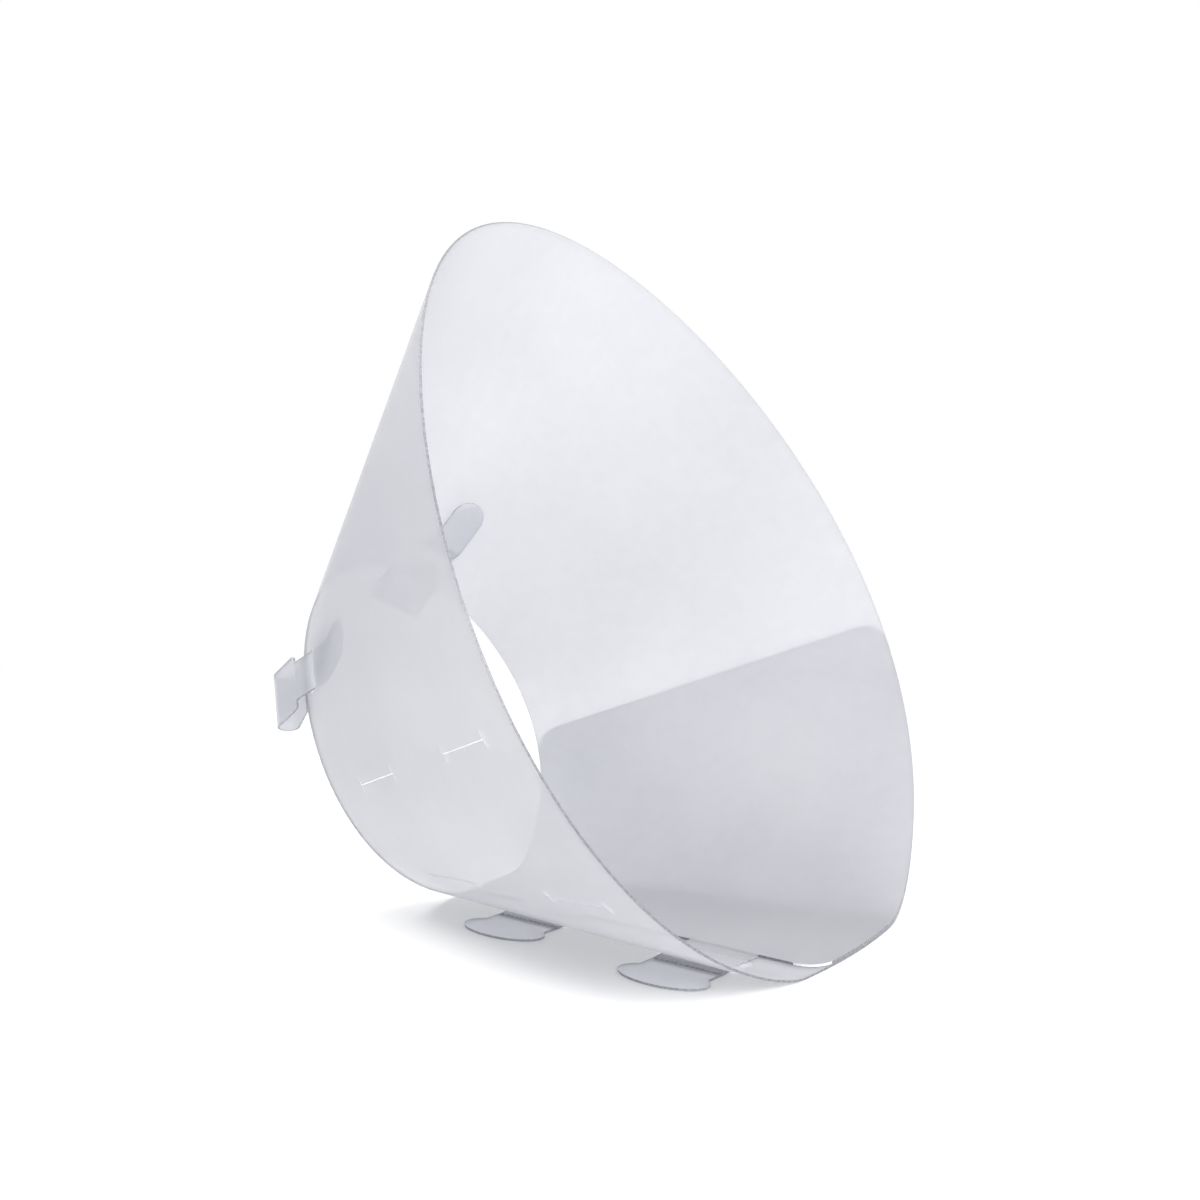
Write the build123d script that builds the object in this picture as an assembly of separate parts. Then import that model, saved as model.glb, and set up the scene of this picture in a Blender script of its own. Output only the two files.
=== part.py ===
from build123d import *
import os
from math import atan2, cos, exp, radians, sin, tan

# Elizabethan collar: one die-cut plastic sheet rolled into a cone, lying on its side.
# Millimetres and degrees. The sheet is laid out about the apex of its cone: "slant" is the
# distance from the apex along a straight line of the sheet, and "turn" is the angle round
# the cone, 0 at the bottom, 90 on the +Y side, 180 at the top and 270 on the -Y side.
# The finished parts are moved so that the origin is on the floor under the collar's middle.

# Where the middle of the collar's footprint lies from the apex: the model's origin
BASE_CENTRE_X = 179.45
BASE_CENTRE_Y = -0.38

# Sheet
THICKNESS = 0.8
LAYER_GAP = 0.3
MOUTH_SLANT = 296.0
NECK_SLANT = 144.0
INNER_END = -12.0
OUTER_END = 360.0 + 75.0
END_CORNER = 9.0

# Shape of the rolled cone
HALF_ANGLE = 28.2
OVAL = 1.83
OVAL_TURN = -27.0
FLOOR_PRESS = 0.0055
SAG_DEPTH = 0.018
SAG_TURN = 11.0
SAG_WIDTH = 16.0
SAG_EASE = 0.03
FLAT_EASE = 0.004
TURN_STEP = 2.0

# Closure: two tongues on the inner end of the sheet, and two rows of slits
TONGUE_SLANTS = {"neck_side": 187.0, "mouth_side": 260.0}
STEM_WIDTH = 27.0
HEAD_WIDTH = 34.0
HEAD_LENGTH = 21.0
HEAD_NECK = 3.0
SLIT_LENGTH = 30.0
SLIT_WIDTH = 0.3
SLIT_END_WIDTH = 6.0
SLIT_TURNS = [287.0, 315.0]
USED_SLIT_START = 345.3
USED_SLIT_END = 340.2
RAMP_START_TURN = 344.5
RAMP_END_TURN = 338.5
HEAD_OFFSET = 1.5
CREASE_GAP = 0.35

# Neck loops: a tongue of the neck edge folded back outside and threaded through a slot
LOOP_TURNS = {"upper": 151.0, "lower": 249.0}
LOOP_WIDTH = 21.5
LOOP_HEIGHT = 8.5
LOOP_REACH = 17.0
ROOT_LENGTH = 11.0
STRAP_START = -10.0
BEND_START = 3.0
BEND_HEIGHT = 3.6
THREAD_ANGLE = 25.0
TIP_WIDTH = 15.0
TIP_DEPTH = 3.4
TIP_END = 40.0
SHOULDER = 1.5
FOLD_RADIUS = 3.2
BEND_RADIUS = 4.0
LOOP_SLOT_LENGTH = 5.8
LOOP_SLOT_SPARE = 1.0

# How far the inner layer lies inside the outer one, measured square to the sheet
PITCH = THICKNESS + LAYER_GAP
WRAP_START = 85.0
WRAP_END = 330.0


def smooth(value):
    value = min(max(value, 0.0), 1.0)
    return value * value * (3.0 - 2.0 * value)


def layer_depth(turn):
    """Distance from the outermost surface in to the outer face of the sheet."""
    return PITCH * (1.0 - smooth((turn - WRAP_START) / (WRAP_END - WRAP_START)))


def upright_direction(turn):
    half = radians(HALF_ANGLE + OVAL * cos(2.0 * radians(turn - OVAL_TURN)))
    angle = radians(turn)
    return (cos(half), sin(half) * sin(angle), -sin(half) * cos(angle))


def touch_angle():
    """The tilt that lays the lowest line of the cone on the floor."""
    steps = [upright_direction(0.5 * i) for i in range(-80, 81)]
    return max(atan2(-z, x) for x, y, z in steps)


LAY_ANGLE = touch_angle() - FLOOR_PRESS


def direction(turn):
    """Unit vector from the apex along the sheet, with the underside flattened by its weight."""
    x, y, z = upright_direction(turn)
    wrapped = (turn + 180.0) % 360.0 - 180.0
    slump = exp(-((wrapped - SAG_TURN) / SAG_WIDTH) ** 2)
    laid_x = x * cos(LAY_ANGLE) - z * sin(LAY_ANGLE)
    laid_z = x * sin(LAY_ANGLE) + z * cos(LAY_ANGLE) - SAG_DEPTH * slump
    ease = FLAT_EASE + SAG_EASE * slump
    height = laid_z * laid_z / (laid_z + ease) if laid_z > 0.0 else 0.0
    spread = ((1.0 - height * height) / (laid_x * laid_x + y * y)) ** 0.5
    return Vector(laid_x * spread, y * spread, height)


def outward(turn):
    """Unit normal of the cone, pointing out of it."""
    tangent = direction(turn + 0.5) - direction(turn - 0.5)
    return tangent.cross(direction(turn)).normalized()


def sheet_point(slant, turn, depth):
    """A point at a depth inside the outermost surface of the cone."""
    return direction(turn) * slant - outward(turn) * depth


def sheet_plane(slant, turn):
    """Local plane at mid-thickness of the sheet: X towards the mouth, Z out of the cone."""
    depth = layer_depth(turn) + THICKNESS / 2
    return Plane(sheet_point(slant, turn, depth), x_dir=direction(turn), z_dir=outward(turn))


def wrap_edge(slant, extra_depth):
    count = round((OUTER_END - INNER_END) / TURN_STEP)
    turns = [INNER_END + (OUTER_END - INNER_END) * i / count for i in range(count + 1)]
    points = [sheet_point(slant, turn, layer_depth(turn) + extra_depth) for turn in turns]
    return Edge.make_spline(points)


def rolled_sheet():
    outer_neck = wrap_edge(NECK_SLANT, 0.0)
    outer_mouth = wrap_edge(MOUTH_SLANT, 0.0)
    inner_neck = wrap_edge(NECK_SLANT, THICKNESS)
    inner_mouth = wrap_edge(MOUTH_SLANT, THICKNESS)
    sides = [
        Face.make_surface_from_curves(outer_neck, outer_mouth),
        Face.make_surface_from_curves(inner_neck, inner_mouth),
        Face.make_surface_from_curves(outer_neck, inner_neck),
        Face.make_surface_from_curves(outer_mouth, inner_mouth),
    ]
    for place in (0, 1):
        corners = [edge @ place for edge in (outer_neck, outer_mouth, inner_mouth, inner_neck)]
        sides.append(Face(Wire.make_polygon(corners, close=True)))
    sheet = Solid(Shell(sides))
    corners = sheet.edges().filter_by(lambda edge: edge.length < 2 * THICKNESS)
    return sheet.fillet(END_CORNER, corners)


def slit_cutter():
    """A slit along the sheet with a short cross cut at each end."""
    height = 3 * THICKNESS
    cutter = Box(SLIT_LENGTH, SLIT_WIDTH, height)
    for side in (-1, 1):
        cutter += Pos(side * SLIT_LENGTH / 2) * Box(SLIT_WIDTH, SLIT_END_WIDTH, height)
    return cutter


def across(slant, turn):
    """How far from the sheet's inner end, square to it, a tongue at this slant meets a turn."""
    end_line = direction(INNER_END)
    line = direction(turn)
    return slant * sin(atan2(end_line.Y, end_line.X) - atan2(line.Y, line.X))


def tongue_plane(slant):
    """Level plane on the floor at the root of a tongue, with X along the tongue."""
    along = direction(INNER_END)
    return Plane(along * slant, x_dir=(along.Y, -along.X, 0), z_dir=(0, 0, 1))


def cone_sheet():
    sheet = rolled_sheet()
    for slant in TONGUE_SLANTS.values():
        for turn in SLIT_TURNS:
            sheet -= sheet_plane(slant, turn) * slit_cutter()
        start, end = across(slant, USED_SLIT_START), across(slant, USED_SLIT_END)
        opening = Box(end - start, SLIT_LENGTH, 6 * THICKNESS)
        sheet -= tongue_plane(slant) * Pos((start + end) / 2, 0) * opening
    for turn in LOOP_TURNS.values():
        slot = Box(LOOP_SLOT_LENGTH, TIP_WIDTH + LOOP_SLOT_SPARE, 4 * THICKNESS)
        sheet -= sheet_plane(loop_slot_slant(), turn) * slot
    return sheet


def strip(path, width):
    """A strip of the sheet's thickness along a path, given as (along, height)."""
    profile = trace(path, line_width=THICKNESS)
    return Rot(90, 0, 0) * extrude(profile, amount=width / 2, both=True)


def hinge_reach(slant):
    """Distance from the inner end of the sheet to the crease where a tongue's head folds."""
    return across(slant, RAMP_END_TURN) + HEAD_OFFSET


def tongue_stem(slant):
    """From the inner end of the sheet, down through the slit to just before the crease."""
    inner_level = THICKNESS + LAYER_GAP + THICKNESS / 2
    outer_level = THICKNESS / 2
    end = hinge_reach(slant) - THICKNESS / 2 - CREASE_GAP
    path = FilletPolyline(
        (0, inner_level),
        (across(slant, RAMP_START_TURN), inner_level),
        (across(slant, RAMP_END_TURN), outer_level),
        (end, outer_level),
        radius=BEND_RADIUS,
    )
    return tongue_plane(slant) * strip(path, STEM_WIDTH)


def tongue_head(slant):
    """The oval head, flat on the floor, with a rounded edge at its crease."""
    depth = HEAD_LENGTH - HEAD_NECK
    outline = Pos(HEAD_NECK + depth / 2) * Ellipse(depth / 2, HEAD_WIDTH / 2)
    outline += Pos((HEAD_NECK + depth / 2) / 2) * Rectangle(HEAD_NECK + depth / 2, STEM_WIDTH)
    head = extrude(outline, amount=THICKNESS)
    head += Pos(0, 0, THICKNESS / 2) * Rot(90, 0, 0) * Cylinder(THICKNESS / 2, STEM_WIDTH)
    return tongue_plane(slant) * Pos(hinge_reach(slant)) * head


def loop_slot_slant():
    return NECK_SLANT + BEND_START + BEND_HEIGHT / tan(radians(THREAD_ANGLE))


def loop_corners():
    """Corners of a loop's outer strap: fold, first bend, and second bend inside the cone."""
    fold = (-LOOP_REACH, LOOP_HEIGHT)
    bend = (BEND_START, BEND_HEIGHT)
    landing = BEND_START + (BEND_HEIGHT + TIP_DEPTH) / tan(radians(THREAD_ANGLE))
    return fold, bend, (landing, -TIP_DEPTH)


def strap_start():
    """Where the fold ends and the strap begins, on the line from the fold to the first bend."""
    fold, bend, _ = loop_corners()
    share = (STRAP_START - fold[0]) / (bend[0] - fold[0])
    return (STRAP_START, fold[1] + share * (bend[1] - fold[1]))


def loop_root(turn):
    """The first stretch of the tongue, straight on from the neck edge."""
    leaf = strip(Line((0, 0), (-ROOT_LENGTH, 0)), LOOP_WIDTH)
    return sheet_plane(NECK_SLANT, turn) * leaf


def loop_fold(turn):
    """The bend that turns the tongue back over the outside of the cone."""
    fold = loop_corners()[0]
    path = FilletPolyline(
        (-ROOT_LENGTH, 0), (-LOOP_REACH, 0), fold, strap_start(), radius=FOLD_RADIUS
    )
    return sheet_plane(NECK_SLANT, turn) * strip(path, LOOP_WIDTH)


def loop_strap(turn):
    """The rest of the tongue: over the neck edge, in through the slot, and its round tip."""
    _, bend, landing = loop_corners()
    path = FilletPolyline(
        strap_start(), bend, landing, (TIP_END, -TIP_DEPTH), radius=BEND_RADIUS
    )
    wide = BEND_START - SHOULDER - STRAP_START + LOOP_REACH
    outline = Pos(BEND_START - SHOULDER - wide / 2) * RectangleRounded(wide, LOOP_WIDTH, SHOULDER)
    outline += SlotOverall(2 * TIP_END, TIP_WIDTH)
    strap = strip(path, LOOP_WIDTH) & extrude(outline, amount=LOOP_HEIGHT * 2, both=True)
    return sheet_plane(NECK_SLANT, turn) * strap


def build_parts():
    parts = {"cone_sheet": cone_sheet()}
    for side, slant in TONGUE_SLANTS.items():
        parts[f"{side}_tongue_stem"] = tongue_stem(slant)
        parts[f"{side}_tongue_head"] = tongue_head(slant)
    for side, turn in LOOP_TURNS.items():
        parts[f"{side}_loop_root"] = loop_root(turn)
        parts[f"{side}_loop_fold"] = loop_fold(turn)
        parts[f"{side}_loop_strap"] = loop_strap(turn)
    return parts


os.makedirs("parts", exist_ok=True)
for name, shape in build_parts().items():
    placed = Pos(-BASE_CENTRE_X, -BASE_CENTRE_Y, 0) * shape
    placed.label = name
    export_step(placed, f"parts/{name}.step")
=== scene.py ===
import bpy, bmesh
from math import radians, sin, cos
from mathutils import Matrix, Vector


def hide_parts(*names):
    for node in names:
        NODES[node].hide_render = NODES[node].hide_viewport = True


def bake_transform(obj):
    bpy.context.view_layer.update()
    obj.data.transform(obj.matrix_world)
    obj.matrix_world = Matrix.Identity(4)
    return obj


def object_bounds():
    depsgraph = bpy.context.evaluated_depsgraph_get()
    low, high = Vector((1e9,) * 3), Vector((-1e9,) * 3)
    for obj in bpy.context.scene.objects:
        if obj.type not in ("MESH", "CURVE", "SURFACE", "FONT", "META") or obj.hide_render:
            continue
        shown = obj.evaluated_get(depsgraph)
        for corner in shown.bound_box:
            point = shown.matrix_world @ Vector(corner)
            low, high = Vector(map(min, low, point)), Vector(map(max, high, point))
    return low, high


# Elizabethan collar. The CAD sheet and closure tongues are kept and given frosted plastic, and
# each neck loop's three CAD regions are replaced by one continuous strip. Metres and watts.

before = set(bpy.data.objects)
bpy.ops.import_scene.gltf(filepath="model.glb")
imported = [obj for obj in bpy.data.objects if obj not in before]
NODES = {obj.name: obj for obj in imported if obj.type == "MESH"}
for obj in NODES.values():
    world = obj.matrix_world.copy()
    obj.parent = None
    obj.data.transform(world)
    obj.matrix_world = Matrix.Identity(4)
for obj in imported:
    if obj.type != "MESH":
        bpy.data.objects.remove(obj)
cad_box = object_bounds()
scene = bpy.context.scene


# ---------------------------------------------------------------- node helpers
# The colour sockets of a Mix node: its two inputs and its result
MIX_A, MIX_B, MIX_RESULT = 6, 7, 2

# Noise values hardly leave this range
NOISE_LOW, NOISE_HIGH = 0.3, 0.7


def new_material(name):
    material = bpy.data.materials.new(name)
    material.use_nodes = True
    tree = material.node_tree
    tree.nodes.clear()
    return material, tree


def add(tree, kind, inputs=None, **settings):
    """A new node, with each input linked to a socket or set to a value."""
    node = tree.nodes.new(kind)
    for key, value in settings.items():
        setattr(node, key, value)
    for key, value in (inputs or {}).items():
        if isinstance(value, bpy.types.NodeSocket):
            tree.links.new(value, node.inputs[key])
        else:
            node.inputs[key].default_value = value
    return node


def noise(tree, scale, detail, rough=0.5):
    place = add(tree, "ShaderNodeTexCoord").outputs["Object"]
    inputs = {"Vector": place, "Scale": scale, "Detail": detail, "Roughness": rough}
    return add(tree, "ShaderNodeTexNoise", inputs).outputs["Fac"]


def remap(tree, value, low, high, start=NOISE_LOW, end=NOISE_HIGH, **settings):
    inputs = {"Value": value, "From Min": start, "From Max": end, "To Min": low, "To Max": high}
    return add(tree, "ShaderNodeMapRange", inputs, **settings).outputs["Result"]


def tint(tree, factor, dark, light):
    inputs = {"Factor": factor, MIX_A: (*dark, 1.0), MIX_B: (*light, 1.0)}
    return add(tree, "ShaderNodeMix", inputs, data_type="RGBA").outputs[MIX_RESULT]


def mixed(tree, factor, first, second):
    """One shader mixed with another, which has the share that factor says."""
    inputs = {"Fac": factor, 1: first.outputs[0], 2: second.outputs[0]}
    return add(tree, "ShaderNodeMixShader", inputs)


# ---------------------------------------------------------------- the plastic
PLASTIC_IOR = 1.49
BUMP_DEPTH = 0.0002


def frosted(name, dark, light, clear, through):
    """Frosted plastic. The share clear of the light passes straight through it, and of the rest
    the share through is scattered to the far side."""
    material, tree = new_material(name)
    cloud = noise(tree, 9.0, 2.0)
    mottle = noise(tree, 160.0, 4.0, 0.65)
    grain = noise(tree, 1400.0, 2.0, 0.6)
    colour = tint(tree, remap(tree, cloud, 0.0, 1.0), dark, light)
    speck = remap(tree, mottle, 0.97, 1.0)
    shaded = add(tree, "ShaderNodeMix", {"Factor": 1.0, MIX_A: colour, MIX_B: speck},
                 data_type="RGBA", blend_type="MULTIPLY")
    colour = shaded.outputs[MIX_RESULT]
    height = add(tree, "ShaderNodeMath", {0: grain, 1: mottle}, operation="ADD").outputs[0]
    bump = add(tree, "ShaderNodeBump", {
        "Height": height, "Strength": 0.12, "Distance": BUMP_DEPTH}).outputs["Normal"]
    skin = add(tree, "ShaderNodeBsdfPrincipled", {
        "Base Color": colour, "Roughness": remap(tree, mottle, 0.34, 0.5),
        "IOR": PLASTIC_IOR, "Normal": bump})
    glow = add(tree, "ShaderNodeBsdfTranslucent", {"Color": colour, "Normal": bump})
    window = add(tree, "ShaderNodeBsdfTransparent", {"Color": (0.96, 0.963, 0.98, 1.0)})
    whole = mixed(tree, clear, mixed(tree, through, skin, glow), window)
    add(tree, "ShaderNodeOutputMaterial", {"Surface": whole.outputs[0]})
    return material


SHEET = frosted("frosted_sheet", (0.57, 0.575, 0.60), (0.63, 0.633, 0.652), 0.39, 0.5)
STRIP = frosted("frosted_strip", (0.61, 0.615, 0.645), (0.69, 0.693, 0.715), 0.45, 0.5)
STEM = frosted("frosted_stem", (0.54, 0.545, 0.57), (0.60, 0.605, 0.625), 0.36, 0.5)
# The heads are painted light: a much lighter copy of the tongue plastic, which lifts the shade
# they lie in under the collar's wall
LIT_HEAD = frosted("frosted_head_painted_light", (0.93, 0.93, 0.95), (0.97, 0.97, 0.98), 0.62, 0.3)


def cut_edge(name, dark, light, clear):
    """A die-cut edge: glossier than the frosted faces, with faint marks of the cutting die; its
    colours are painted light, dark for painted shade on the rim and tongues, light for a painted
    glint on the slits.
    """
    material, tree = new_material(name)
    marks = noise(tree, 900.0, 3.0, 0.6)
    colour = tint(tree, remap(tree, marks, 0.0, 1.0), dark, light)
    bump = add(tree, "ShaderNodeBump", {
        "Height": marks, "Strength": 0.25, "Distance": BUMP_DEPTH}).outputs["Normal"]
    skin = add(tree, "ShaderNodeBsdfPrincipled", {
        "Base Color": colour, "Roughness": remap(tree, marks, 0.2, 0.35),
        "IOR": PLASTIC_IOR, "Normal": bump})
    window = add(tree, "ShaderNodeBsdfTransparent", {"Color": (0.95, 0.96, 0.975, 1.0)})
    whole = mixed(tree, clear, skin, window)
    add(tree, "ShaderNodeOutputMaterial", {"Surface": whole.outputs[0]})
    return material


# The sheet's rim and other cut edges are painted near-black: painted shade for the dark line the
# edge shows against the bright wall
SHADED_SHEET_EDGE = cut_edge("cut_edge", (0.11, 0.11, 0.13), (0.18, 0.18, 0.20), 0.15)
# The tongues' cut edges are painted dark grey: painted shade for their darker outlines
SHADED_STRIP_EDGE = cut_edge("strip_cut_edge_painted_shade", (0.26, 0.27, 0.30), (0.36, 0.37, 0.40), 0.15)
# The slits' cut faces are painted near-white: a painted glint
GLINTING_SLIT_EDGE = cut_edge("slit_cut_edge_painted_glint", (0.78, 0.78, 0.81), (0.88, 0.88, 0.90), 0.35)


# ---------------------------------------------------------------- which faces are cut edges
SHARP = radians(35.0)

# Areas in square metres: a patch that is larger than the first two is a frosted face of the
# sheet or of a tongue, and one up to the last is a side of a slit and not of the rim
SHEET_FACE = 0.01
STRIP_FACE = 0.0002
LARGEST_SLIT = 0.00003


def sort_patches(piece, smallest_face):
    """Puts each patch of faces between sharp edges in a slot: face 0, rim 1 or slit 2."""
    mesh = bmesh.new()
    mesh.from_mesh(piece.data)
    mesh.faces.ensure_lookup_table()
    seen = set()
    for first in mesh.faces:
        if first.index in seen:
            continue
        patch, todo = [], [first]
        seen.add(first.index)
        while todo:
            face = todo.pop()
            patch.append(face)
            for edge in face.edges:
                if len(edge.link_faces) == 2 and edge.calc_face_angle() < SHARP:
                    for other in edge.link_faces:
                        if other.index not in seen:
                            seen.add(other.index)
                            todo.append(other)
        area = sum(face.calc_area() for face in patch)
        slot = 0 if area > smallest_face else 1 if area > LARGEST_SLIT else 2
        for face in patch:
            face.material_index = slot
    mesh.to_mesh(piece.data)
    mesh.free()


def dress(piece, face, edge, slit, smallest_face):
    piece.data.materials.clear()
    for material in (face, edge, slit):
        piece.data.materials.append(material)
    sort_patches(piece, smallest_face)
    piece.data.shade_smooth()
    piece.data.set_sharp_from_angle(angle=SHARP)


def dress_strip(piece, face):
    """Dresses a tongue, whose cut edges all get the same painted shade."""
    dress(piece, face, SHADED_STRIP_EDGE, SHADED_STRIP_EDGE, STRIP_FACE)


dress(NODES["cone_sheet"], SHEET, SHADED_SHEET_EDGE, GLINTING_SLIT_EDGE, SHEET_FACE)
for side in ("neck_side", "mouth_side"):
    dress_strip(NODES[side + "_tongue_stem"], STEM)
    dress_strip(NODES[side + "_tongue_head"], LIT_HEAD)


# ---------------------------------------------------------------- the neck loops
# Corners of two regions that are this close are the same corner
WELD = 0.00001
WELDS_PER_METRE = 1e5


def welded(point):
    return tuple(round(value * WELDS_PER_METRE) for value in point)


def strip(name, nodes):
    """One strip from a tongue's CAD regions, without the faces where two regions meet."""
    corners = [{welded(vertex.co) for vertex in NODES[node].data.vertices} for node in nodes]
    mesh = bmesh.new()
    for number, node in enumerate(nodes):
        mesh.from_mesh(NODES[node].data)
        shared = set()
        for step in (number - 1, number + 1):
            if 0 <= step < len(nodes):
                shared |= corners[number] & corners[step]
        mesh.faces.ensure_lookup_table()
        fresh = [face for face in mesh.faces if not face.tag]
        inside = [face for face in fresh
                  if all(welded(vertex.co) in shared for vertex in face.verts)]
        bmesh.ops.delete(mesh, geom=inside, context="FACES_ONLY")
        for face in mesh.faces:
            face.tag = True
    bmesh.ops.remove_doubles(mesh, verts=mesh.verts, dist=WELD)
    data = bpy.data.meshes.new(name)
    mesh.to_mesh(data)
    mesh.free()
    piece = bpy.data.objects.new(name, data)
    scene.collection.objects.link(piece)
    dress_strip(piece, STRIP)
    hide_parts(*nodes)
    return piece


def loop(side):
    """The strip of one neck loop."""
    nodes = [side + "_loop_root", side + "_loop_fold", side + "_loop_strap"]
    piece = strip(side + "_neck_loop", nodes)
    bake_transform(piece)


loop("upper")
loop("lower")


# ---------------------------------------------------------------- floor
FLOOR_REACH = 3.0
FLOOR_DROP = 0.0001
FLOOR_GREY = 0.66

# How much the floor glows by itself near the collar, which is painted light that lifts the
# shadows there, and between which distances it turns into a wholly white glow
FLOOR_GLOW = 0.15
FADE_START, FADE_END = 0.3, 0.8

WHITE = (1.0, 1.0, 1.0, 1.0)
FLOOR_CORNERS = ((-1, -1), (1, -1), (1, 1), (-1, 1))

corners = [(x * FLOOR_REACH, y * FLOOR_REACH, 0.0) for x, y in FLOOR_CORNERS]
floor_mesh = bpy.data.meshes.new("floor")
floor_mesh.from_pydata(corners, [], [(0, 1, 2, 3)])
floor = bpy.data.objects.new("floor", floor_mesh)
floor.location.z = cad_box[0][2] - FLOOR_DROP
scene.collection.objects.link(floor)
glowing_floor_material, tree = new_material("floor_painted_light")
paint = add(tree, "ShaderNodeBsdfPrincipled", {
    "Base Color": (FLOOR_GREY, FLOOR_GREY, FLOOR_GREY, 1.0), "Roughness": 0.8})
# Painted light: the floor's own white glow, mixed in by distance from the collar
white = add(tree, "ShaderNodeEmission", {"Color": WHITE})
place = add(tree, "ShaderNodeTexCoord").outputs["Object"]
reach = add(tree, "ShaderNodeVectorMath", {0: place}, operation="LENGTH").outputs["Value"]
far = remap(tree, reach, FLOOR_GLOW, 1.0, FADE_START, FADE_END, interpolation_type="SMOOTHSTEP")
whole = mixed(tree, far, paint, white)
add(tree, "ShaderNodeOutputMaterial", {"Surface": whole.outputs[0]})
floor.data.materials.append(glowing_floor_material)


# ---------------------------------------------------------------- sky and lights
# The sky is bright and warm on this side, and dim and blue on the other
BRIGHT_SIDE = (0.25, 0.68, 0.69)
COOL, WARM = (0.66, 0.75, 1.0), (1.0, 0.995, 0.97)
DIMMEST = 0.2

world = bpy.data.worlds.new("studio")
world.use_nodes = True
tree = world.node_tree
tree.nodes.clear()
towards = add(tree, "ShaderNodeTexCoord").outputs["Generated"]
facing = add(tree, "ShaderNodeVectorMath", {0: towards, 1: BRIGHT_SIDE}, operation="DOT_PRODUCT")
bright = remap(tree, facing.outputs["Value"], DIMMEST, 1.0, -0.5, 0.3,
               interpolation_type="SMOOTHSTEP")
sky_colour = tint(tree, bright, COOL, WARM)
sky = add(tree, "ShaderNodeBackground", {"Color": sky_colour, "Strength": bright})

# The camera sees a plain white backdrop instead of the sky that lights the collar
backdrop = add(tree, "ShaderNodeBackground", {"Color": WHITE, "Strength": 1.0})
seen = add(tree, "ShaderNodeLightPath").outputs["Is Camera Ray"]
around = mixed(tree, seen, sky, backdrop)
add(tree, "ShaderNodeOutputWorld", {"Surface": around.outputs[0]})
scene.world = world
scene.view_settings.view_transform = "Standard"


def soft_light(name, place, aim, size, power):
    data = bpy.data.lights.new(name, "AREA")
    data.shape = "DISK"
    data.size = size
    data.energy = power
    lamp = bpy.data.objects.new(name, data)
    lamp.location = place
    lamp.rotation_euler = (Vector(aim) - Vector(place)).to_track_quat("-Z", "Y").to_euler()
    scene.collection.objects.link(lamp)


soft_light("key", place=(0.95, -0.5, 0.75), aim=(0.0, 0.05, 0.18), size=0.8, power=23.0)
soft_light("top", place=(0.3, 0.3, 1.4), aim=(0.0, 0.0, 0.0), size=0.9, power=6.0)
soft_light("left", place=(-0.85, -0.2, 1.05), aim=(-0.05, -0.05, 0.25), size=0.5, power=13.0)


# ---------------------------------------------------------------- camera
# Fitted to the photograph: it looks down by the first angle and is turned by the second
CAMERA_PLACE = (0.3201, -0.4866, 0.1643)
LOOKS_DOWN = 5.94
TURNED = 33.47

camera_data = bpy.data.cameras.new("camera")
camera_data.sensor_width = 36.0
camera_data.lens = 47.55
camera_data.shift_x = 0.028
camera_data.shift_y = 0.0198
camera_data.clip_start = 0.01
camera = bpy.data.objects.new("camera", camera_data)
camera.location = CAMERA_PLACE
camera.rotation_euler = (radians(90.0 - LOOKS_DOWN), 0.0, radians(TURNED))
scene.collection.objects.link(camera)
scene.camera = camera
